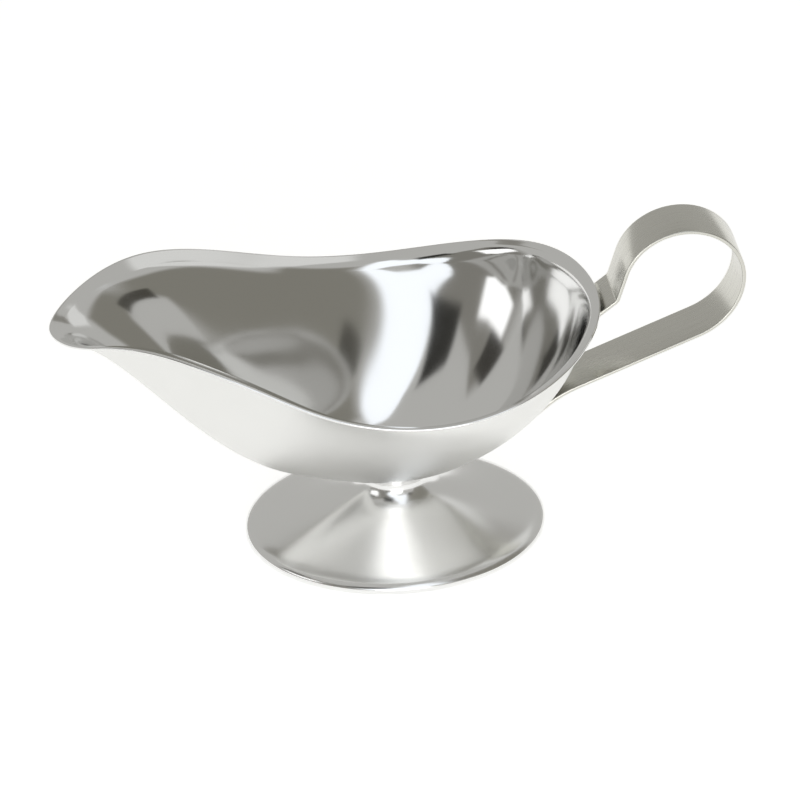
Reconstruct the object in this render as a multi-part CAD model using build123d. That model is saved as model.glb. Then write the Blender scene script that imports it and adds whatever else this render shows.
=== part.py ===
from build123d import *
import math
import os

# A polished stainless steel gravy boat on a pedestal foot, in millimetres.
# X runs from the spout (-X) to the handle (+X), Y runs across and Z is up.
# The origin is the centre of the foot on the table.

# ---- Driving dimensions -----------------------------------------------------
SHEET = 1.0  # thickness of the drawn and spun sheet

# Outer edge of the rim, from the tip of the spout to the back: x, half width, height
RIM_STATIONS = [
    (-102.5, 0.0, 83.4),
    (-100.2, 7.4, 84.0),
    (-95.0, 13.8, 85.8),
    (-87.0, 19.4, 88.6),
    (-76.0, 25.0, 90.0),
    (-60.0, 31.6, 86.8),
    (-42.0, 37.5, 80.0),
    (-24.0, 42.7, 73.4),
    (-6.0, 45.8, 70.4),
    (12.0, 46.6, 70.7),
    (30.0, 43.4, 73.8),
    (46.0, 34.2, 78.2),
    (57.0, 18.5, 81.0),
    (61.0, 0.0, 81.0),
]
LIP_WIDTH = 3.6  # the flared lip, measured level, along the sides and the back
LIP_RISE = 1.8  # how far the flare climbs over that width
TIP_LIP_WIDTH = 1.2  # the lip fades out towards the tip of the spout
TIP_LIP_RISE = 0.3
LIP_FADE_LENGTH = 25.0  # from the tip to where the lip has its full width
THROAT_START = 0.975  # the wall turns into the lip in a small bend, from this run
THROAT_END = 1.4  # to this one, where 1 is the corner and 2 the edge of the lip

FLOOR_Z = 24.0  # inside of the bowl at its lowest point
FLOOR_SHARE = 0.08  # the flat floor, as a share of the rim's outline
FLOOR_SOFTNESS = 0.12  # how gently the floor turns up into the wall
BELLY_POWER = 1.2
BELLY_ROUNDNESS = 0.75  # share of a quarter circle in the wall's section
BACK_ROUNDNESS = 0.10  # more of it at the back
SPOUT_POWER = 1.5  # added to BELLY_POWER under the spout
SPOUT_DROOP = 2.8  # how early the channel of the spout gets to its height
SPOUT_SPREAD = 0.9

FOOT_RADIUS = 46.5  # half the foot's length along X
OVALITY = 0.765  # the foot's width over its length
FOOT_TRIM = 0.8  # spun a little deep, then trimmed flat to stand on
# Outside of the foot along X: radius and height, from the neck down to the shoulder
FOOT_PROFILE = [
    (9.8, 22.95),
    (9.0, 19.2),
    (11.0, 15.6),
    (17.0, 12.0),
    (26.0, 8.6),
    (35.0, 5.9),
    (41.0, 4.4),
]
SHOULDER_DROP = 1.2  # height at which the rounded shoulder turns straight down

STRAP_WIDTH = 15.0
STRAP_THICKNESS = 1.2
LOOP_CENTRE = (85.7, 86.2)  # centre of the finger loop's upper arc, x and z
LOOP_RADIUS = 18.2  # of the strap's middle line over the top
LOW_LOOP_RADIUS = 20.8  # of the wider arc that leads into the lower arm
RISER_ANGLE = 74.0  # slope of the short riser below the loop
ARM_ANGLE = 23.2  # slope of the long lower arm
TAB_BEND = (60.2, 77.2)  # corner where the tab leaves the bowl's wall
RISER_BEND = (65.7, 81.8)  # corner where the tab turns up into the riser
ARM_BEND_RADIUS = 35.0
SMALL_BEND_RADIUS = 2.5
UPPER_PAD = 0.93  # where the upper pad ends, as a share of the wall's run
LOWER_PAD = 0.56  # where the lower pad ends

PAD_GAP = 0.2  # the welds hold the pads this far off the wall
WELD_RADIUS = 2.6
WELD_SPACING = 7.0
NECK_WELD_RADIUS = 1.5

# ---- Sampling of the smooth surfaces ----------------------------------------
AROUND = 40  # steps from the spout to the back
WALL_RUNS = [0, 0.08, 0.17, 0.27, 0.37, 0.47, 0.57, 0.67, 0.76, 0.84, 0.9, 0.95, 0.975]
LIP_RUNS = [1.0, 1.1, 1.2, 1.35, 1.55, 1.8, 2.0]
STEP = 1e-3  # for the finite differences that give a normal


def soft_step(value):
    """0 below 0, 1 above 1, and a smooth turn between them."""
    value = min(max(value, 0.0), 1.0)
    return value * value * (3 - 2 * value)


def rim_edge():
    """The rim's outer edge as one closed smooth curve, symmetric about the XZ plane."""
    one_side = [Vector(x, y, z) for x, y, z in RIM_STATIONS]
    other_side = [Vector(p.X, -p.Y, p.Z) for p in reversed(one_side[1:-1])]
    return Edge.make_spline(one_side + other_side, periodic=True)


RIM = rim_edge()


def lip_points(turn):
    """The lip's outer edge and its throat, where the wall ends, at a place round the rim."""
    edge = RIM.position_at(turn % 1.0)
    along = RIM.tangent_at(turn % 1.0)
    outward = Vector(along.Y, -along.X, 0).normalized()
    if outward.dot(Vector(edge.X, edge.Y, 0)) < 0:
        outward = outward * -1
    fade = soft_step((edge.X - RIM_STATIONS[0][0]) / LIP_FADE_LENGTH)
    width = TIP_LIP_WIDTH + (LIP_WIDTH - TIP_LIP_WIDTH) * fade
    rise = TIP_LIP_RISE + (LIP_RISE - TIP_LIP_RISE) * fade
    throat = edge - outward * width - Vector(0, 0, rise)
    return edge, throat


def wall_rise(share, throat):
    """How high the wall has climbed, 0 to 1, at a share of the way out to the throat.

    The belly mixes a soft power curve with a quarter circle. Under the spout the curve
    climbs early and levels off, which makes the pouring channel.
    """
    reach = math.hypot(throat.X, throat.Y)
    spout = ((1 - throat.X / reach) / 2) ** SPOUT_SPREAD
    back = ((1 + throat.X / reach) / 2) ** 10
    out = (share - FLOOR_SHARE) / (1 - FLOOR_SHARE)
    soft = math.hypot(out, FLOOR_SOFTNESS) - FLOOR_SOFTNESS
    soft = soft / (math.hypot(1, FLOOR_SOFTNESS) - FLOOR_SOFTNESS)
    roundness = (BELLY_ROUNDNESS + BACK_ROUNDNESS * back) * (1 - spout)
    power = BELLY_POWER + SPOUT_POWER * spout
    droop = SPOUT_DROOP * spout

    def curve(soft_out, plain_out):
        circle = 1 - math.sqrt(1 - 0.98 * plain_out**2)
        mix = (1 - roundness) * soft_out**power + roundness * circle
        return mix * (1 + droop * (1 - plain_out))

    return curve(soft, out) / curve(1.0, 1.0)


def inside_point(run, turn):
    """A point on the inside of the bowl: run 0 to 1 climbs the wall, 1 to 2 crosses the lip."""
    edge, throat = lip_points(turn)

    def plain(at):
        if at > 1:
            return throat + (edge - throat) * (at - 1)
        share = FLOOR_SHARE + (1 - FLOOR_SHARE) * at
        height = FLOOR_Z + (throat.Z - FLOOR_Z) * wall_rise(share, throat)
        return Vector(throat.X * share, throat.Y * share, height)

    if not THROAT_START < run < THROAT_END:
        return plain(run)
    bend = (run - THROAT_START) / (THROAT_END - THROAT_START)
    start = plain(THROAT_START) * (1 - bend) ** 2
    middle = throat * (2 * bend * (1 - bend))
    return start + middle + plain(THROAT_END) * bend**2


def inside_normal(run, turn):
    """The unit normal that points into the bowl, from finite differences."""
    if run == 0:
        return Vector(0, 0, 1)
    lower, upper = max(run - STEP, 0.0), min(run + STEP, 2.0)
    climb = inside_point(upper, turn) - inside_point(lower, turn)
    around = inside_point(run, turn + STEP) - inside_point(run, turn - STEP)
    normal = climb.cross(around).normalized()
    return normal if normal.Z > 0 else normal * -1


def outside_point(run, turn):
    """The same place on the outside of the sheet."""
    return inside_point(run, turn) - inside_normal(run, turn) * SHEET


def half_skin(point):
    """One side of a skin of the bowl, from the floor to the edge of the lip."""
    turns = [0.5 * i / AROUND for i in range(AROUND + 1)]
    grid = [[point(run, turn) for turn in turns] for run in WALL_RUNS + LIP_RUNS]
    for row in grid:
        for end in (0, -1):
            row[end] = Vector(row[end].X, 0, row[end].Z)
    return Face.make_surface_from_array_of_points(grid, tol=0.01)


def level_edge(face, at_top):
    """The skin's lip edge, or its floor edge."""
    curved = [e for e in face.edges() if not on_middle_plane(e)]
    curved.sort(key=lambda e: e.position_at(0.5).Z)
    return curved[-1] if at_top else curved[0]


def on_middle_plane(edge):
    return all(abs(edge.position_at(t).Y) < 0.01 for t in (0.25, 0.5, 0.75))


def make_bowl():
    """The drawn bowl: two skins one sheet apart, joined at the lip and closed by the floor."""
    inner, outer = half_skin(inside_point), half_skin(outside_point)
    lip_strip = Face.make_surface_from_curves(level_edge(inner, True), level_edge(outer, True))
    faces = [inner, outer, lip_strip]
    faces += [face.mirror(Plane.XZ) for face in (inner, outer, lip_strip)]
    for skin in (inner, outer):
        half = level_edge(skin, False)
        faces.append(Face(Wire([half, half.mirror(Plane.XZ)])))
    bowl = Solid(Shell(faces))
    return bowl if bowl.volume > 0 else Solid(bowl.wrapped.Reversed())


def make_foot():
    """The spun foot: a trumpet open underneath, one sheet thick, pressed to an oval."""
    shoulder = FOOT_PROFILE[-1]
    edge_start = (FOOT_RADIUS, SHOULDER_DROP)
    flare = Spline(*FOOT_PROFILE)
    rounding = Spline(shoulder, edge_start, tangents=[flare % 1, (0, -1)])
    skirt = Line(edge_start, (FOOT_RADIUS, -FOOT_TRIM))
    outside = Wire([flare, rounding, skirt])
    samples = 24
    inner = []
    for i in range(samples + 1):
        place = outside.position_at(i / samples)
        along = outside.tangent_at(i / samples)
        inner.append((place.X + along.Y * SHEET, place.Y - along.X * SHEET))
    inner[0] = (FOOT_PROFILE[0][0] - SHEET, FOOT_PROFILE[0][1])
    inner[-1] = (FOOT_RADIUS - SHEET, -FOOT_TRIM)
    inside = Spline(*inner)
    profile = Wire([
        flare,
        rounding,
        skirt,
        Line((FOOT_RADIUS, -FOOT_TRIM), inner[-1]),
        inside,
        Line(inner[0], FOOT_PROFILE[0]),
    ])
    round_foot = revolve(Plane.XZ * Face(profile), axis=Axis.Z)
    oval_foot = scale(round_foot, by=(1, OVALITY, 1))
    trimmings = Pos(0, 0, -FOOT_TRIM) * Box(3 * FOOT_RADIUS, 3 * FOOT_RADIUS, 2 * FOOT_TRIM)
    return (oval_foot - trimmings).solid()


def polar(centre, radius, degrees):
    angle = math.radians(degrees)
    return (centre[0] + radius * math.cos(angle), centre[1] + radius * math.sin(angle))


def pad_point(run):
    """Middle line of the strap where it lies on the back of the bowl, x and z."""
    depth = SHEET + PAD_GAP + STRAP_THICKNESS / 2
    place = inside_point(run, 0.5) - inside_normal(run, 0.5) * depth
    return (place.X, place.Z)


def crossing(start, degrees, base, towards):
    """Where the line from start at an angle meets the line through base and towards."""
    dx, dz = math.cos(math.radians(degrees)), math.sin(math.radians(degrees))
    ex, ez = towards[0] - base[0], towards[1] - base[1]
    run = ((base[0] - start[0]) * ez - (base[1] - start[1]) * ex) / (dx * ez - dz * ex)
    return (start[0] + run * dx, start[1] + run * dz)


def strap_line():
    """The strap's middle line: upper pad, tab, riser, finger loop, lower arm, lower pad."""
    top_start = polar(LOOP_CENTRE, LOOP_RADIUS, RISER_ANGLE + 90)
    low_centre = (LOOP_CENTRE[0] + LOOP_RADIUS - LOW_LOOP_RADIUS, LOOP_CENTRE[1])
    low_end = polar(low_centre, LOW_LOOP_RADIUS, ARM_ANGLE - 90)
    lower_pad = [pad_point(LOWER_PAD), pad_point(LOWER_PAD + 0.1)]
    arm_end = crossing(low_end, ARM_ANGLE, *lower_pad)
    pieces = [
        FilletPolyline(
            pad_point(UPPER_PAD), TAB_BEND, RISER_BEND, top_start, radius=SMALL_BEND_RADIUS
        ),
        CenterArc(LOOP_CENTRE, LOOP_RADIUS, RISER_ANGLE + 90, -(RISER_ANGLE + 90)),
        CenterArc(low_centre, LOW_LOOP_RADIUS, 0, ARM_ANGLE - 90),
        FilletPolyline(low_end, arm_end, lower_pad[0], radius=ARM_BEND_RADIUS),
    ]
    return Wire([edge for piece in pieces for edge in piece.edges()])


def make_strap():
    """One flat strap bent edge-on, so its section is the middle line given its thickness."""
    line = strap_line()
    section = Face(line.offset_2d(STRAP_THICKNESS / 2, side=Side.BOTH, kind=Kind.INTERSECTION))
    return extrude(Plane.XZ * section, amount=STRAP_WIDTH / 2, both=True).solid()


def make_pad_welds(run, bowl, strap):
    """Two weld nuggets across a pad, filling the gap between the flat strap and the wall."""
    normal = inside_normal(run, 0.5)
    middle = inside_point(run, 0.5) - normal * SHEET
    nuggets = []
    for side in (-1, 1):
        centre = middle + Vector(0, side * WELD_SPACING / 2, 0)
        nugget = Plane(centre, z_dir=normal) * Cylinder(WELD_RADIUS, 2 * SHEET)
        nuggets.append((nugget - bowl - strap).solids().sort_by(SortBy.VOLUME)[-1])
    return nuggets


def make_neck_weld(bowl, foot):
    """The bead of weld metal round the top of the neck, under the bowl."""
    neck_radius, neck_top = FOOT_PROFILE[0]
    bead = Torus(neck_radius - SHEET / 2, NECK_WELD_RADIUS)
    bead = Pos(0, 0, neck_top) * scale(bead, by=(1, OVALITY, 1))
    return (bead - bowl - foot).solids().sort_by(SortBy.VOLUME)[-1]


def write(name, shapes):
    shape = shapes[0] if len(shapes) == 1 else Compound(children=shapes)
    shape.label = name
    export_step(shape, f"parts/{name}.step")
    box = shape.bounding_box()
    print(name, round(sum(s.volume for s in shapes)), "mm3", box.min, box.max)


os.makedirs("parts", exist_ok=True)
bowl = make_bowl()
foot = make_foot()
strap = make_strap()
write("bowl", [bowl])
write("pedestal_foot", [foot])
write("handle_strap", [strap])
write("neck_weld", [make_neck_weld(bowl, foot)])
write("upper_handle_welds", make_pad_welds(UPPER_PAD + 0.04, bowl, strap))
write("lower_handle_welds", make_pad_welds(LOWER_PAD + 0.04, bowl, strap))
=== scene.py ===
# %% [markdown]
# # A polished steel gravy boat, built and lit in Blender
#
# The real boat is three pieces of stainless sheet and strip: a drawn bowl, a spun foot and
# a bent strap handle, held together by welds. The frame gives their sizes and places. Here
# each piece becomes a smooth surface worked out with numpy, because a mirror finish shows
# every flat facet that a coarser mesh would have.
#
# Dimensions are in millimetres, as on a drawing, and turn into metres only when a mesh is
# made. X runs from the spout to the handle, Y runs across and Z is up.

import math

import bpy
import numpy as np
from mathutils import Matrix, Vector


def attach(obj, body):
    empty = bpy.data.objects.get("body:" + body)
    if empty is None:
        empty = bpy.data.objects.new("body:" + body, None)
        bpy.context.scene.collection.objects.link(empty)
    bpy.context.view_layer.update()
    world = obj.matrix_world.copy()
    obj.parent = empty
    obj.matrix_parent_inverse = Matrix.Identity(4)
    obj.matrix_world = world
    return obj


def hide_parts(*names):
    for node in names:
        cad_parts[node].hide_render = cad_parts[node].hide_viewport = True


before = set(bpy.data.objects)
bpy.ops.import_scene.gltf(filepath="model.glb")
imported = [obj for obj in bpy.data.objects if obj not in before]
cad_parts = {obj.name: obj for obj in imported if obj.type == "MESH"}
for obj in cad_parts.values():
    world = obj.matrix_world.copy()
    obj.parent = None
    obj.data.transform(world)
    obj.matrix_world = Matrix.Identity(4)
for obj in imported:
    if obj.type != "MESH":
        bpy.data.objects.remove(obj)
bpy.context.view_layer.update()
MM = 0.001

# %% [markdown]
# ## Small helpers
#
# Colours are written as sRGB hex values, as a colour picker shows them, and shaders work in
# linear light, so one function turns the first into the second. Another adds a node to a
# tree with its settings and its links in one call, which keeps each material short enough
# to read at a glance. The last two start a metal material and put an object into the scene.

# %% Colour, node and object helpers


def linear(hex_colour):
    """sRGB hex to linear RGBA: the standard sRGB curve, undone channel by channel."""
    parts = np.array([int(hex_colour[i:i + 2], 16) for i in (1, 3, 5)]) / 255
    flat = np.where(parts <= 0.04045, parts / 12.92, ((parts + 0.055) / 1.055) ** 2.4)
    return (*[float(v) for v in flat], 1.0)


def add(tree, kind, links=None, **settings):
    """Adds a node. settings are node properties or socket values, links are socket: source."""
    node = tree.nodes.new(kind)
    for name, value in settings.items():
        if name in node.bl_rna.properties:
            setattr(node, name, value)
        else:
            node.inputs[name.replace("_", " ")].default_value = value
    for name, source in (links or {}).items():
        tree.links.new(source, node.inputs[name])
    return node


def new_steel(name):
    """A metal material: returns it with its node tree, its shader and object coordinates."""
    material = bpy.data.materials.new(name)
    material.use_nodes = True
    tree = material.node_tree
    shader = tree.nodes["Principled BSDF"]
    shader.inputs["Metallic"].default_value = 1.0
    place = add(tree, "ShaderNodeTexCoord").outputs["Object"]
    return material, tree, shader, place


def link_object(name, data):
    """Puts a mesh or a camera into the scene as an object, at the origin and unturned."""
    piece = bpy.data.objects.new(name, data)
    bpy.context.collection.objects.link(piece)
    return piece


print("mid grey in linear light:", round(linear("#808080")[0], 3))


# %% [markdown]
# ## A grid of points becomes a mesh
#
# Every piece below is a function of two parameters on a grid. One helper joins each point
# of the grid to its neighbours, and closes the grid on itself where the piece is a ring.

# %% Grid to mesh


def mesh_piece(name, points, faces, *materials):
    """Puts points (metres) and faces into a mesh, smooth shaded, at the origin."""
    mesh = bpy.data.meshes.new(name)
    mesh.from_pydata(points.tolist(), [], faces)
    mesh.validate()
    mesh.polygons.foreach_set("use_smooth", np.ones(len(mesh.polygons), dtype=bool))
    for material in materials:
        mesh.materials.append(material)
    print(f"{name}: {len(mesh.vertices)} points, {len(mesh.polygons)} faces")
    return link_object(name, mesh)


def grid_faces(rows, columns, closed_rows=False):
    """Quads of a grid whose rows are closed rings; closed_rows joins the last row to the first."""
    row = np.arange(rows if closed_rows else rows - 1)[:, None]
    column = np.arange(columns)[None, :]
    here = row * columns + column
    right = row * columns + (column + 1) % columns
    above = (row + 1) % rows * columns + column
    above_right = (row + 1) % rows * columns + (column + 1) % columns
    return np.stack([here, right, above_right, above], -1).reshape(-1, 4).tolist()


# %% [markdown]
# ## The rim of the bowl
#
# Everything about the bowl hangs on its rim: a closed curve in space, wide over the foot,
# drawn in to the spout, high at the spout's crest and low in the middle. It is a smooth
# closed spline through the stations below, mirrored to the boat's other side. Each span
# between two stations is a cubic in Hermite form, with t from 0 to 1:
#
#     p(t) = (2t^3 - 3t^2 + 1) a + (t^3 - 2t^2 + t) da + (3t^2 - 2t^3) b + (t^3 - t^2) db
#
# The slopes da and db are the ones that make curvature agree where two spans meet.

# %% The rim curve
RIM_STATIONS = np.array([  # from the tip of the spout to the back: x, half width, height
    (-102.5, 0.0, 83.4),
    (-100.2, 7.4, 84.0),
    (-95.0, 13.8, 85.8),
    (-87.0, 19.4, 88.6),
    (-76.0, 25.0, 90.0),
    (-60.0, 31.6, 86.8),
    (-42.0, 37.5, 80.0),
    (-24.0, 42.7, 73.4),
    (-6.0, 45.8, 70.4),
    (12.0, 46.6, 70.7),
    (30.0, 43.4, 73.8),
    (46.0, 34.2, 78.2),
    (57.0, 18.5, 81.0),
    (61.0, 0.0, 81.0),
])


def spline_slopes(points, gaps):
    """Slopes of the closed cubic spline: each knot's two spans agree on their curvature."""
    count = len(points)
    system = np.zeros((count, count))
    target = np.zeros((count, 3))
    for i in range(count):
        before, after = gaps[i - 1], gaps[i]
        step_in = (points[i] - points[i - 1]) / before
        step_out = (points[(i + 1) % count] - points[i]) / after
        system[i, i - 1] += after
        system[i, i] += 2 * (before + after)
        system[i, (i + 1) % count] += before
        target[i] = 3 * (after * step_in + before * step_out)
    return np.linalg.solve(system, target)


RIM_KNOTS = np.concatenate([RIM_STATIONS, (RIM_STATIONS * (1, -1, 1))[-2:0:-1]])
RIM_GAPS = np.linalg.norm(np.roll(RIM_KNOTS, -1, 0) - RIM_KNOTS, axis=1)
RIM_SLOPES = spline_slopes(RIM_KNOTS, RIM_GAPS)
RIM_STARTS = np.concatenate([[0], np.cumsum(RIM_GAPS)])


def rim_curve(turn):
    """Point and direction of the rim at turn, 0 at the spout's tip and 0.5 at the back."""
    place = turn % 1.0 * RIM_STARTS[-1]
    span = np.clip(np.searchsorted(RIM_STARTS, place, side="right") - 1, 0, len(RIM_GAPS) - 1)
    after = (span + 1) % len(RIM_GAPS)
    gap = RIM_GAPS[span][..., None]
    t = (place - RIM_STARTS[span])[..., None] / gap
    a, b = RIM_KNOTS[span], RIM_KNOTS[after]
    da, db = RIM_SLOPES[span] * gap, RIM_SLOPES[after] * gap
    point = ((2 * t**3 - 3 * t**2 + 1) * a + (t**3 - 2 * t**2 + t) * da
             + (3 * t**2 - 2 * t**3) * b + (t**3 - t**2) * db)
    slope = ((6 * t**2 - 6 * t) * (a - b) + (3 * t**2 - 4 * t + 1) * da
             + (3 * t**2 - 2 * t) * db) / gap
    return point, slope


print("rim length, station to station, mm:", round(float(RIM_STARTS[-1]), 1))

# %% [markdown]
# ## The bowl
#
# A press draws the bowl from one flat disc. Its wall leaves a small flat floor over the
# foot, swells into a belly, and under the spout climbs early and levels off into a pouring
# channel. The last few millimetres flare out into a lip. Spinning a profile can't make such
# a shape, and sculpting it would never be this even, so each point of the wall is a share
# of the way from the floor to the rim, and its height follows from that share.
#
# Where the wall is the share s of the way out, its height is in proportion to
#
#     ((1 - r) soft(s)^p + r (1 - sqrt(1 - 0.98 s^2))) (1 + d (1 - s))
#
# At the back r is 0.85, so the section is mostly a quarter circle: a full belly.
# Towards the spout r is 0, and the last factor, with its droop d, lifts the middle of the
# section, because gravy has to run out along it.

# %% The inside surface of the bowl
SHEET = 1.0  # thickness of the drawn and spun sheet
LIP_WIDTH, LIP_RISE = 3.6, 1.8  # the flared lip, level and upright
TIP_LIP_WIDTH, TIP_LIP_RISE = 1.2, 0.3  # what is left of it at the tip of the spout
LIP_FADE_LENGTH = 25.0  # from the tip to where the lip has its full width
THROAT_START, THROAT_END = 0.975, 1.4  # the bend from wall to lip, as runs
FLOOR_Z, FLOOR_SHARE, FLOOR_SOFTNESS = 24.0, 0.08, 0.12
BELLY_POWER, BELLY_ROUNDNESS, BACK_ROUNDNESS = 1.2, 0.75, 0.10
BACK_FOCUS = 10  # the extra roundness keeps to the back: the higher, the closer
SPOUT_POWER, SPOUT_DROOP, SPOUT_SPREAD = 1.5, 2.8, 0.9
FULLEST_CIRCLE = 0.98  # a whole quarter circle would end upright, with no draft


def lip_points(turn):
    """The lip's outer edge, and the throat where the wall ends: the edge moved in and down."""
    edge, along = rim_curve(turn)
    outward = np.stack([-along[..., 1], along[..., 0], 0 * along[..., 0]], -1)
    outward /= np.linalg.norm(outward, axis=-1, keepdims=True)
    outward *= np.sign((outward * edge).sum(-1, keepdims=True))
    fade = np.clip((edge[..., :1] - RIM_STATIONS[0, 0]) / LIP_FADE_LENGTH, 0, 1)
    fade = fade**2 * (3 - 2 * fade)
    width = TIP_LIP_WIDTH + (LIP_WIDTH - TIP_LIP_WIDTH) * fade
    rise = TIP_LIP_RISE + (LIP_RISE - TIP_LIP_RISE) * fade
    return edge, edge - outward * width - rise * np.array([0, 0, 1])


def wall_rise(out, throat):
    """Height from floor to throat, 0 to 1: a soft power curve mixed with a quarter circle."""
    facing = throat[..., 0] / np.hypot(throat[..., 0], throat[..., 1])
    spout = ((1 - facing) / 2) ** SPOUT_SPREAD
    back = ((1 + facing) / 2) ** BACK_FOCUS
    roundness = (BELLY_ROUNDNESS + BACK_ROUNDNESS * back) * (1 - spout)
    power = BELLY_POWER + SPOUT_POWER * spout

    def curve(at):
        soft = np.hypot(at, FLOOR_SOFTNESS) - FLOOR_SOFTNESS
        soft = soft / (math.hypot(1, FLOOR_SOFTNESS) - FLOOR_SOFTNESS)
        circle = 1 - np.sqrt(1 - FULLEST_CIRCLE * at**2)
        mix = (1 - roundness) * soft**power + roundness * circle
        return mix * (1 + SPOUT_DROOP * spout * (1 - at))

    return curve(out) / curve(1.0)


def inside(run, turn):
    """Point on the inside: run 0 to 1 climbs the wall and 1 to 2 crosses the flared lip.

    Between the two a quadratic curve with the throat as its middle point rounds the bend.
    """
    edge, throat = lip_points(turn)

    def plain(at):
        out = np.clip(at, 0, 1)
        share = (FLOOR_SHARE + (1 - FLOOR_SHARE) * out)[..., None]
        height = FLOOR_Z + (throat[..., 2] - FLOOR_Z) * wall_rise(out, throat)
        wall = np.concatenate([throat[..., :2] * share, height[..., None]], -1)
        return wall + (edge - throat) * np.clip(at - 1, 0, 1)[..., None]

    bend = np.clip((run - THROAT_START) / (THROAT_END - THROAT_START), 0, 1)[..., None]
    start, end = plain(THROAT_START + 0 * run), plain(THROAT_END + 0 * run)
    curve = (1 - bend) ** 2 * start + 2 * bend * (1 - bend) * throat + bend**2 * end
    in_bend = ((run > THROAT_START) & (run < THROAT_END))[..., None]
    return np.where(in_bend, curve, plain(run))


def inside_normal(run, turn, step=1e-4):
    """Unit normal into the bowl: the cross product of the climb and the way round."""
    climb = inside(np.minimum(run + step, 2), turn) - inside(np.maximum(run - step, 0), turn)
    around = inside(run, turn + step) - inside(run, turn - step)
    normal = np.cross(climb, around)
    normal /= np.linalg.norm(normal, axis=-1, keepdims=True)
    return normal * np.sign(normal[..., 2:])


sample_turns = np.array([0.0, 0.25, 0.5])
print("lip edge at tip, side and back, mm:", lip_points(sample_turns)[0].round(1).tolist())


# %% [markdown]
# The grid is fine where the surface bends hard: at the throat, at the rolled edge and at
# the tip of the spout. The outside is the inside moved one sheet thickness along its
# normal, and half a circle joins the two at the edge of the lip.

# %% Grid of the whole bowl
AROUND = 320  # points round the bowl
TIP_CROWDING = 0.55  # how much closer together they stand at the tip of the spout
WALL_ROWS, BEND_ROWS, LIP_ROWS, ROLL_ROWS = 45, 11, 7, 7


def rim_turns(count):
    """Turns from 0 to 1: even steps minus a sine, so that they crowd towards the tip."""
    even = np.arange(count) / count
    return even - TIP_CROWDING * np.sin(2 * np.pi * even) / (2 * np.pi)


def bowl_points():
    """Rings from the floor up the inside, round the rolled edge and down the outside."""
    turn = rim_turns(AROUND)
    edge, throat = lip_points(turn)
    lip_end = 2 - SHEET / 2 / np.linalg.norm(edge - throat, axis=-1)  # room for the roll
    wall = np.linspace(0, 1, WALL_ROWS + 1)[:-1, None] * THROAT_START + 0 * turn
    bend = np.linspace(THROAT_START, THROAT_END, BEND_ROWS + 1)[:-1, None] + 0 * turn
    lip = THROAT_END + np.linspace(0, 1, LIP_ROWS)[:, None] * (lip_end - THROAT_END)
    run = np.concatenate([wall, bend, lip])
    turn = turn + 0 * run
    skin, normal = inside(run, turn), inside_normal(run, turn)
    normal[0] = (0, 0, 1)
    outer = skin - normal * SHEET
    middle = (skin[-1] + outer[-1]) / 2
    outward = np.cross(normal[-1], rim_curve(turn[-1])[1])
    outward /= np.linalg.norm(outward, axis=-1, keepdims=True)
    outward *= np.sign((outward * middle).sum(-1, keepdims=True))
    angles = np.linspace(0, np.pi, ROLL_ROWS + 2)[1:-1, None, None]
    rolled = middle + (normal[-1] * np.cos(angles) + outward * np.sin(angles)) * SHEET / 2
    return np.concatenate([skin, rolled, outer[::-1]])


def capped(rings):
    """Points and faces of a stack of rings whose first and last are closed by a fan."""
    rows, columns = rings.shape[:2]
    points = rings.reshape(-1, 3)
    poles = np.stack([rings[0].mean(0), rings[-1].mean(0)])
    faces = grid_faces(rows, columns)
    first, last = len(points), len(points) + 1
    near = np.arange(columns)
    far = (rows - 1) * columns + near
    faces += np.stack([0 * near + first, np.roll(near, -1), near], -1).tolist()
    faces += np.stack([0 * far + last, far, np.roll(far, -1)], -1).tolist()
    return np.concatenate([points, poles]) * MM, faces


bowl_rings = bowl_points()
print("bowl grid, rows and columns:", bowl_rings.shape[:2])


# %% [markdown]
# ## The foot
#
# A spinner presses a disc over a chuck into a low trumpet: a narrow neck under the bowl, a
# wide flare, a rounded shoulder and a short skirt that stands on the table. It is hollow
# and open underneath. The round trumpet is then pressed to an oval, so its width is a
# share of its length everywhere.

# %% The foot's section and rings
FOOT_RADIUS, OVALITY = 46.5, 0.765
FOOT_PROFILE = np.array([  # outside: radius and height, from the neck to the shoulder
    (9.8, 22.95),
    (9.0, 19.2),
    (11.0, 15.6),
    (17.0, 12.0),
    (26.0, 8.6),
    (35.0, 5.9),
    (41.0, 4.4),
])
SHOULDER_DROP = 1.2  # height at which the rounded shoulder turns straight down
SKIRT_KNEE, HEM_HEIGHT = 0.7, 0.3  # the short skirt, and the rounded hem that it ends in
FLARE_STEPS, SHOULDER_STEPS, HEM_STEPS, FOOT_AROUND = 12, 14, 7, 256


def open_spline(points, samples):
    """A cubic spline through points with free ends, sampled evenly in each span."""
    gaps = np.linalg.norm(np.diff(points, axis=0), axis=1)
    count = len(points)
    system, target = np.zeros((count, count)), np.zeros_like(points)
    steps = np.diff(points, axis=0) / gaps[:, None]
    system[0, :2], target[0] = (2, 1), 3 * steps[0]
    system[-1, -2:], target[-1] = (1, 2), 3 * steps[-1]
    for i in range(1, count - 1):
        system[i, i - 1:i + 2] = gaps[i], 2 * (gaps[i - 1] + gaps[i]), gaps[i - 1]
        target[i] = 3 * (gaps[i] * steps[i - 1] + gaps[i - 1] * steps[i])
    slopes = np.linalg.solve(system, target)
    t = np.linspace(0, 1, samples, endpoint=False)[None, :, None]
    a, b = points[:-1, None], points[1:, None]
    da, db = slopes[:-1, None] * gaps[:, None, None], slopes[1:, None] * gaps[:, None, None]
    curve = ((2 * t**3 - 3 * t**2 + 1) * a + (t**3 - 2 * t**2 + t) * da
             + (3 * t**2 - 2 * t**3) * b + (t**3 - t**2) * db)
    return np.concatenate([curve.reshape(-1, 2), points[-1:]]), slopes[-1]


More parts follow.
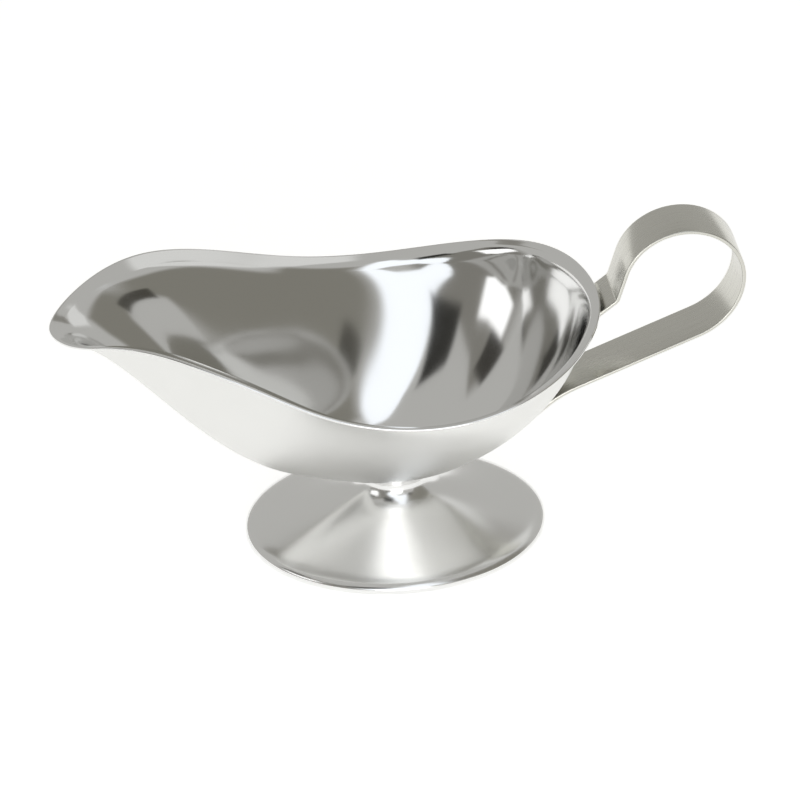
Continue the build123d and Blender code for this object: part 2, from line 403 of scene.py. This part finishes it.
def foot_section():
    """Closed section of the foot: flare, shoulder, skirt, and back one sheet further in."""
    flare, slope = open_spline(FOOT_PROFILE, FLARE_STEPS)
    shoulder = FOOT_PROFILE[-1]
    drop = slope[1] / slope[0] * (FOOT_RADIUS - shoulder[0])
    corner = np.array([FOOT_RADIUS, shoulder[1] + drop])
    skirt_top = np.array([FOOT_RADIUS, SHOULDER_DROP])
    t = np.linspace(0, 1, SHOULDER_STEPS)[1:, None]
    rounding = (1 - t) ** 2 * shoulder + 2 * t * (1 - t) * corner + t**2 * skirt_top
    skirt = np.array([[FOOT_RADIUS, SKIRT_KNEE], [FOOT_RADIUS, HEM_HEIGHT]])
    outside = np.concatenate([flare, rounding, skirt])
    along = np.gradient(outside, axis=0)
    along /= np.linalg.norm(along, axis=1, keepdims=True)
    inner = outside + np.stack([along[:, 1], -along[:, 0]], -1) * SHEET
    inner[0] = FOOT_PROFILE[0] - (SHEET, 0)
    angles = np.linspace(0, np.pi, HEM_STEPS)[1:-1]
    hem = np.stack([FOOT_RADIUS - SHEET / 2 + np.cos(angles) * SHEET / 2,
                    HEM_HEIGHT - HEM_HEIGHT * np.sin(angles)], -1)
    return np.concatenate([outside, hem, inner[::-1]])


def foot_rings():
    """The section carried round the oval: cosine along X, a narrower sine along Y."""
    section = foot_section()
    angle = np.arange(FOOT_AROUND) / FOOT_AROUND * 2 * np.pi
    radius, height = section[:, :1], section[:, 1:]
    return np.stack([radius * np.cos(angle), radius * np.sin(angle) * OVALITY,
                     height + 0 * angle], -1)


foot_grid = foot_rings()
print("foot grid, rows and columns:", foot_grid.shape[:2])

# %% [markdown]
# ## The strap handle
#
# One strip of steel, every bend of it in the same plane: a pad welded under the rim, a short
# tab, a riser, the finger loop, a long lower arm and a pad on the bowl's back. The middle
# line is made of arcs and straights, as a bender sets them out, and a rounded rectangle is
# carried along it.

# %% The strap's middle line
STRAP_WIDTH, STRAP_THICKNESS = 15.0, 1.2
LOOP_CENTRE = np.array([85.7, 86.2])  # of the finger loop's upper arc, x and z
LOOP_RADIUS, LOW_LOOP_RADIUS = 18.2, 20.8  # over the top, and where it turns into the arm
RISER_ANGLE, ARM_ANGLE = 74.0, 23.2  # slopes of the riser and of the lower arm, degrees
TAB_BEND, RISER_BEND = np.array([60.2, 77.2]), np.array([65.7, 81.8])
SMALL_BEND_RADIUS, ARM_BEND_RADIUS = 2.5, 35.0
UPPER_PAD, LOWER_PAD = 0.93, 0.56  # where the pads lie on the bowl, as runs up its wall
PAD_REACH = 0.1  # the lower pad's line runs through a second point, this much higher
PAD_GAP = 0.2  # left for the weld metal
BACK = 0.5  # the turn at which the handle stands
LINE_STEP = 2.0  # rough spacing of the rings along the strap


def arc(centre, radius, start, end, step=3.0):
    """Points on an arc from start to end, in degrees, both ends included."""
    angle = np.radians(np.linspace(start, end, max(int(abs(end - start) / step), 4)))
    return centre + radius * np.stack([np.cos(angle), np.sin(angle)], -1)


def rounded_corner(before, corner, after, radius):
    """The arc of a bend: it touches both straights, so its centre is a radius from each."""
    into = (corner - before) / np.linalg.norm(corner - before)
    out = (after - corner) / np.linalg.norm(after - corner)
    turn = math.atan2(into[0] * out[1] - into[1] * out[0], into @ out)
    side = math.copysign(1, turn)
    start = corner - into * radius * math.tan(abs(turn) / 2)
    centre = start + side * radius * np.array([-into[1], into[0]])
    first = math.degrees(math.atan2(*(start - centre)[::-1]))
    return arc(centre, radius, first, first + math.degrees(turn))


def pad_point(run):
    """Where the strap's middle line lies on the back of the bowl."""
    run, turn = np.array([run]), np.array([BACK])
    depth = SHEET + PAD_GAP + STRAP_THICKNESS / 2
    return (inside(run, turn) - inside_normal(run, turn) * depth)[0, [0, 2]]


def crossing(start, degrees, base, towards):
    """Where a line from start at an angle meets the line through two points."""
    direction = np.array([math.cos(math.radians(degrees)), math.sin(math.radians(degrees))])
    other = towards - base
    offset = base - start
    run = (offset[0] * other[1] - offset[1] * other[0])
    run /= direction[0] * other[1] - direction[1] * other[0]
    return start + run * direction


def strap_line():
    """Upper pad, tab, riser, loop, arm and lower pad as one chain of points."""
    loop = arc(LOOP_CENTRE, LOOP_RADIUS, RISER_ANGLE + 90, 0)
    low_centre = LOOP_CENTRE + (LOOP_RADIUS - LOW_LOOP_RADIUS, 0)
    low_loop = arc(low_centre, LOW_LOOP_RADIUS, 0, ARM_ANGLE - 90)
    pad_end, pad_on = pad_point(LOWER_PAD), pad_point(LOWER_PAD + PAD_REACH)
    arm_bend = crossing(low_loop[-1], ARM_ANGLE, pad_end, pad_on)
    top = pad_point(UPPER_PAD)
    chain = [
        top[None],
        rounded_corner(top, TAB_BEND, RISER_BEND, SMALL_BEND_RADIUS),
        rounded_corner(TAB_BEND, RISER_BEND, loop[0], SMALL_BEND_RADIUS),
        loop,
        low_loop[1:],
        rounded_corner(low_loop[-1], arm_bend, pad_end, ARM_BEND_RADIUS),
        pad_end[None],
    ]
    return np.concatenate(chain)


def spread(points, step):
    """The same chain with its long straights cut into steps, so that shading stays even."""
    parts = []
    for a, b in zip(points[:-1], points[1:]):
        count = max(int(np.linalg.norm(b - a) / step), 1)
        parts.append(a + (b - a) * np.arange(count)[:, None] / count)
    return np.concatenate([*parts, points[-1:]])


middle_line = spread(strap_line(), LINE_STEP)
strap_length = np.linalg.norm(np.diff(middle_line, axis=0), axis=1).sum()
print("strap, flat length, mm:", round(float(strap_length), 1))

# %% [markdown]
# A strip cut from sheet has its edges broken with a file, so the section is a rectangle with
# small round corners. A perfectly sharp edge would have no face that can catch the light.

# %% The strap's rings
EDGE_RADIUS = 0.35
CORNER_STEPS = 5


def strap_section():
    """Rounded rectangle: across the strap in Y, through it in thickness."""
    corner = np.linspace(0, math.pi / 2, CORNER_STEPS)
    half_width, half_depth = STRAP_WIDTH / 2 - EDGE_RADIUS, STRAP_THICKNESS / 2 - EDGE_RADIUS
    rings = []
    for number, (side, face) in enumerate([(1, 1), (-1, 1), (-1, -1), (1, -1)]):
        angle = corner + math.pi / 2 * number
        rings.append(np.stack([side * half_width + EDGE_RADIUS * np.cos(angle),
                               face * half_depth + EDGE_RADIUS * np.sin(angle)], -1))
    return np.concatenate(rings)


def strap_rings(line):
    """The section carried along the line; each ring stands square to the line's direction."""
    along = np.gradient(line, axis=0)
    along /= np.linalg.norm(along, axis=1, keepdims=True)
    normal = np.stack([-along[:, 1], along[:, 0]], -1)
    section = strap_section()
    x = line[:, :1] + normal[:, :1] * section[:, 1]
    z = line[:, 1:] + normal[:, 1:] * section[:, 1]
    y = 0 * x + section[:, 0]
    return np.stack([x, y, z], -1)


strap_grid = strap_rings(middle_line)
print("strap grid, rows and columns:", strap_grid.shape[:2])


# %% [markdown]
# ## Finishes
#
# The bowl and foot are stainless, buffed on cloth wheels: the inside to a mirror, the foot
# a little less and the bowl's outside least. Buffing leaves a faint haze, and hairlines too
# fine to see one by one, so the roughness wanders a little and a very shallow bump breaks up
# the reflections. On the foot that bump follows the spinner's tool in rings.

# %% Buffed stainless
NOISE_LOW, NOISE_HIGH = 0.3, 0.7  # most of a noise texture lies between these
HAZE_SIZE = 28 * MM  # the patches that one pass of the mop leaves
HAIRLINE = 0.4 * MM
HAIRLINE_STRETCH = 0.15  # along X the hairlines vary this much more slowly
SPUN_LINE = 0.8 * MM  # the spinner's tool moves out this far each turn
RINGS_PER_UNIT = 10 / math.pi  # rings that a wave texture of scale 1 draws in one unit
BUFF_BUMP, LINE_DEPTH = 0.08, 0.02 * MM


def buffed_steel(name, colour, roughness, haze, spun=False):
    """Stainless buffed on a cloth wheel: a cloudy haze over hairlines or over spun rings."""
    material, tree, shader, place = new_steel(name)
    shader.inputs["Base Color"].default_value = linear(colour)
    cloud = add(tree, "ShaderNodeTexNoise", {"Vector": place}, Scale=1 / HAZE_SIZE, Detail=3.0)
    span = add(tree, "ShaderNodeMapRange", {"Value": cloud.outputs["Fac"]},
               From_Min=NOISE_LOW, From_Max=NOISE_HIGH,
               To_Min=roughness, To_Max=roughness + haze)
    tree.links.new(span.outputs["Result"], shader.inputs["Roughness"])
    if spun:
        lines = add(tree, "ShaderNodeTexWave", {"Vector": place}, wave_type="RINGS",
                    rings_direction="Z", Scale=1 / SPUN_LINE / RINGS_PER_UNIT,
                    Distortion=1.5, Detail=2.0)
    else:
        stretch = add(tree, "ShaderNodeMapping", {"Vector": place},
                      Scale=(HAIRLINE_STRETCH, 1.0, 1.0))
        lines = add(tree, "ShaderNodeTexNoise", {"Vector": stretch.outputs["Vector"]},
                    Scale=1 / HAIRLINE, Detail=2.0)
    bump = add(tree, "ShaderNodeBump", {"Height": lines.outputs["Fac"]},
               Strength=BUFF_BUMP, Distance=LINE_DEPTH)
    tree.links.new(bump.outputs["Normal"], shader.inputs["Normal"])
    return material


# Inside of the bowl: polished to a mirror
mirror_steel = buffed_steel("mirror_buffed_stainless", "#E8E8E7", 0.08, 0.05)
# Outside of the bowl: buffed once, a soft sheen
outer_steel = buffed_steel("soft_buffed_stainless", "#E8E8E6", 0.38, 0.08)
# Foot: spun, then buffed in the lathe
foot_steel = buffed_steel("spun_buffed_stainless", "#EDEDEC", 0.16, 0.06, spun=True)

# %% [markdown]
# The strap is satin: it was ground along its length before it was bent, and shows soft long
# scratches. One noise, squeezed along the strip, drives colour, roughness and bump together,
# because on real metal all three come from the same scratch. The welds were dressed with the
# same belt and are a little darker and duller.

# %% Satin stainless
SATIN_LINE = 0.5 * MM  # across the grain; along it the scratches are 25 times as long
SATIN_STRETCH = 0.04
SATIN_BUMP = 0.05
SATIN_SMOOTHER, SATIN_ROUGHER = 0.04, 0.06  # how far the roughness swings either way
SCRATCH_COLOUR = "#CBCAC3"


def satin_steel(name, colour, roughness):
    """Stainless ground with a fine belt: long soft scratches and a broad sheen."""
    material, tree, shader, place = new_steel(name)
    stretch = add(tree, "ShaderNodeMapping", {"Vector": place},
                  Scale=(SATIN_STRETCH, 1.0, SATIN_STRETCH))
    lines = add(tree, "ShaderNodeTexNoise", {"Vector": stretch.outputs["Vector"]},
                Scale=1 / SATIN_LINE, Detail=3.0)
    shade = add(tree, "ShaderNodeMixRGB", {"Fac": lines.outputs["Fac"]},
                Color1=linear(colour), Color2=linear(SCRATCH_COLOUR))
    tree.links.new(shade.outputs["Color"], shader.inputs["Base Color"])
    span = add(tree, "ShaderNodeMapRange", {"Value": lines.outputs["Fac"]},
               From_Min=NOISE_LOW, From_Max=NOISE_HIGH,
               To_Min=roughness - SATIN_SMOOTHER, To_Max=roughness + SATIN_ROUGHER)
    tree.links.new(span.outputs["Result"], shader.inputs["Roughness"])
    bump = add(tree, "ShaderNodeBump", {"Height": lines.outputs["Fac"]},
               Strength=SATIN_BUMP, Distance=LINE_DEPTH)
    tree.links.new(bump.outputs["Normal"], shader.inputs["Normal"])
    return material


# Handle strap: belt-ground strip
strap_steel = satin_steel("satin_ground_stainless", "#D3D2CB", 0.24)
# Welds: dressed flush, a shade darker and duller than the strap
weld_steel = satin_steel("dressed_weld_stainless", "#BDBBB2", 0.35)
print("finishes:", [m.name for m in (mirror_steel, outer_steel, foot_steel, strap_steel, weld_steel)])

# %% [markdown]
# ## Make the pieces
#
# Each piece rides on the frame's one body and stands for its node in the frame. The bowl is
# one mesh with two finishes: the softer one starts on the far side of the rolled edge.

# %% Bowl
bowl = mesh_piece("bowl_shell", *capped(bowl_rings), mirror_steel, outer_steel)
ROLL_ROWS_OUTSIDE = 2
FIRST_OUTER_ROW = WALL_ROWS + BEND_ROWS + LIP_ROWS + ROLL_ROWS - ROLL_ROWS_OUTSIDE
finish = np.zeros(len(bowl.data.polygons), dtype=np.int32)
finish[FIRST_OUTER_ROW * AROUND:-2 * AROUND] = 1  # the two fans that close the poles come last
finish[-AROUND:] = 1
bowl.data.polygons.foreach_set("material_index", finish)
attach(bowl, "root")
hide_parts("bowl")

# %% [markdown]
# The foot's section is a closed loop, so its grid closes on itself both ways, like a ring.

# %% Foot
foot = mesh_piece("foot_trumpet", foot_grid.reshape(-1, 3) * MM,
                  grid_faces(*foot_grid.shape[:2], closed_rows=True), foot_steel)
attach(foot, "root")
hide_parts("pedestal_foot")

# %% [markdown]
# The strap's grid is open at both ends, so a flat fan closes each one, as a shear leaves it.

# %% Strap
strap = mesh_piece("strap_handle", *capped(strap_grid), strap_steel)
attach(strap, "root")
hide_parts("handle_strap")

# %% [markdown]
# The welds are small and mostly hidden, and the frame's own solids already follow the bowl,
# the foot and the strap closely. They keep those shapes and get their finish here.

# %% Welds
for node in ("neck_weld", "upper_handle_welds", "lower_handle_welds"):
    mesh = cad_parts[node].data
    mesh.materials.clear()
    mesh.materials.append(weld_steel)
    print(node, "finished,", len(mesh.polygons), "faces")

# %% [markdown]
# ## Faces point outwards
#
# A mirror finish forgives nothing, so the direction of the bowl, the foot and the strap is
# checked by the volume that each encloses. By the divergence theorem that volume is the sum
# of a . (b x c) / 6 over all triangles a, b, c, and it is positive only if they face out.

# %% Check the direction of the faces


def enclosed_volume(piece):
    """Signed volume in cubic millimetres: the sum of a . (b x c) / 6 over the triangles."""
    mesh = piece.data
    mesh.calc_loop_triangles()
    corners = np.empty(len(mesh.loop_triangles) * 3, dtype=np.int32)
    mesh.loop_triangles.foreach_get("vertices", corners)
    points = np.empty(len(mesh.vertices) * 3)
    mesh.vertices.foreach_get("co", points)
    a, b, c = points.reshape(-1, 3)[corners].reshape(-1, 3, 3).transpose(1, 0, 2) / MM
    return float((a * np.cross(b, c)).sum() / 6)


for piece in (bowl, foot, strap):
    if enclosed_volume(piece) < 0:
        piece.data.flip_normals()
    print(piece.name, "volume, mm3:", round(enclosed_volume(piece)))

# %% [markdown]
# ## Floor, light and camera
#
# Polished steel has no colour of its own to show, so what it reflects is the picture. The
# boat stands on a white light table in an even grey room. Around it hang cards, as in any
# studio that shoots metal: white cards for the bright strips, and grey flags that draw the
# dark shapes inside the bowl. The table glows as well as catching light, so that its white
# stays even right up to the foot.

# %% Light table
TABLE_GLOW = 0.57
TABLE_HALF = 6.0  # metres
corners = [(-1, -1, 0), (1, -1, 0), (1, 1, 0), (-1, 1, 0)]
table_mesh = bpy.data.meshes.new("light_table")
table_mesh.from_pydata((np.array(corners) * TABLE_HALF).tolist(), [], [(0, 1, 2, 3)])
table = link_object("light_table", table_mesh)
acrylic = bpy.data.materials.new("white_acrylic")
acrylic.use_nodes = True
acrylic_shader = acrylic.node_tree.nodes["Principled BSDF"]
acrylic_shader.inputs["Base Color"].default_value = linear("#F4F4F3")
acrylic_shader.inputs["Roughness"].default_value = 0.9
acrylic_shader.inputs["Emission Color"].default_value = linear("#FFFFFF")
acrylic_shader.inputs["Emission Strength"].default_value = TABLE_GLOW
table_mesh.materials.append(acrylic)
print("light table:", 2 * TABLE_HALF, "m square")

# %% [markdown]
# The room is one even grey. The steel shows it wherever it reflects neither the table nor a
# card.

# %% The room's light
ROOM_GREY = 0.50
world = bpy.data.worlds.new("studio")
bpy.context.scene.world = world
world.use_nodes = True
background = world.node_tree.nodes["Background"]
background.inputs["Color"].default_value = linear("#FFFEFA")
background.inputs["Strength"].default_value = ROOM_GREY
print("room grey:", ROOM_GREY)

# %% [markdown]
# ## Cards and flags
#
# A card's outline is given as compass directions from the boat (0 is behind it, 90 to its
# right) and heights in degrees, so that moving a reflection is a matter of moving a card.
# A point at direction d and height h stands at r (sin d cos h, cos d cos h, sin h). The
# edges fade out, as the edge of a real softbox does, and the camera can't see the cards.

# %% Cards


def card(name, outline, distance, colour, strength=1.0, feather=0.3):
    """A glowing card with soft edges, seen from the boat as an outline in degrees.

    The card is a fan of triangles about its middle. The attribute inward is 0 on the outline
    and 1 in the middle, and the card fades in over the first part of that way.
    """
    direction, height = np.radians(np.array(outline, dtype=float)).T
    points = distance * np.stack([np.sin(direction) * np.cos(height),
                                  np.cos(direction) * np.cos(height), np.sin(height)], -1)
    count = len(points)
    middle = points.mean(0, keepdims=True)
    middle *= distance / np.linalg.norm(middle)
    points = np.concatenate([points, middle])
    mesh = bpy.data.meshes.new(name)
    mesh.from_pydata(points.tolist(), [], [(i, (i + 1) % count, count) for i in range(count)])
    inward = np.append(np.zeros(count), 1.0)
    mesh.attributes.new("inward", "FLOAT", "POINT").data.foreach_set("value", inward)
    material = bpy.data.materials.new(name)
    material.use_nodes = True
    tree = material.node_tree
    tree.nodes.clear()
    place = add(tree, "ShaderNodeAttribute", attribute_name="inward").outputs["Fac"]
    fade = add(tree, "ShaderNodeMapRange", {"Value": place}, interpolation_type="SMOOTHSTEP",
               From_Max=feather)
    clear = add(tree, "ShaderNodeBsdfTransparent")
    glow = add(tree, "ShaderNodeEmission", Color=linear(colour), Strength=strength)
    mixed = add(tree, "ShaderNodeMixShader", {"Fac": fade.outputs["Result"]})
    tree.links.new(clear.outputs["BSDF"], mixed.inputs[1])
    tree.links.new(glow.outputs["Emission"], mixed.inputs[2])
    add(tree, "ShaderNodeOutputMaterial", {"Surface": mixed.outputs["Shader"]})
    mesh.materials.append(material)
    piece = link_object(name, mesh)
    piece.visible_camera = False
    print(f"{name}: {distance} m away")


# White cards; the bounce stands close to the boat and low, to light the front of the foot
card("bounce", [(166, 1), (166, 17), (192, 17), (192, 1)], 0.27, "#FFFFFF", 4.0, 0.1)
card("window", [(152, 18), (150, 40), (150, 62), (165, 62), (175, 48), (190, 33), (205, 20),
                (206, 0), (195, 0), (183, 17), (168, 23)], 1.8, "#F6FAFF", 1.3, 0.2)
card("side_strip", [(228, 8), (226, 34), (238, 32), (260, 30), (260, 16), (242, 11)], 1.7,
     "#FFFFFF", 1.35, 0.25)
card("side_window", [(42, 34), (42, 74), (88, 74), (88, 46), (74, 34)], 1.8, "#E2E2E0")

# %% [markdown]
# Dark and middle grey flags give the steel its dark shapes. Without them polished steel looks
# like white plastic. The small dark ones hang in front of the large ones.

# %% Flags
card("window_flag", [(184, 31), (184, 48), (212, 46), (214, 31)], 1.8, "#2E2D2A")
card("side_flag", [(244, 28), (244, 44), (266, 44), (266, 28)], 1.8, "#3E3C38")
card("corner_flag", [(139, 16), (139, 26), (151, 26), (151, 16)], 1.8, "#4A4842")
card("front_flag", [(174, -6), (174, 34), (208, 36), (236, 43), (268, 50), (268, -6)], 2.1,
     "#83817B")
card("right_flag", [(78, 26), (80, 46), (155, 46), (155, 19), (138, 15), (130, -4), (98, -4)], 2.1,
     "#85837B")
card("back_flag", [(-56, 37), (-56, 50), (50, 50), (50, 37)], 2.1, "#8A8882")

# %% [markdown]
# ## Camera
#
# The camera looks down into the bowl from the front, turned a little towards the spout, from
# just over a metre away with a long lens, so that the boat keeps its true proportions.

# %% Camera
CAMERA_ELEVATION, CAMERA_AZIMUTH = 36.0, -8.0  # degrees above the table and towards the spout
CAMERA_DISTANCE = 1.1  # metres
LENS, SENSOR_WIDTH = 164.3, 36  # millimetres
BOAT_MIDDLE = np.array([-12, 0, 52]) * MM
RIGHT_OF_MIDDLE, BELOW_MIDDLE = 13.3 * MM, 3.1 * MM  # where the lens points
e, a = math.radians(CAMERA_ELEVATION), math.radians(CAMERA_AZIMUTH)
back = np.array([math.sin(a) * math.cos(e), -math.cos(a) * math.cos(e), math.sin(e)])
right = np.array([math.cos(a), math.sin(a), 0])
up = np.cross(back, right)
aim = BOAT_MIDDLE + RIGHT_OF_MIDDLE * right - BELOW_MIDDLE * up
camera_data = bpy.data.cameras.new("camera")
camera_data.lens = LENS
camera_data.sensor_width = SENSOR_WIDTH
camera = link_object("camera", camera_data)
camera.location = aim + back * CAMERA_DISTANCE
camera.rotation_euler = Vector(-back).to_track_quat("-Z", "Y").to_euler()
bpy.context.scene.camera = camera
bpy.context.scene.view_settings.view_transform = "Standard"
print("camera at, mm:", [round(v / MM) for v in camera.location])
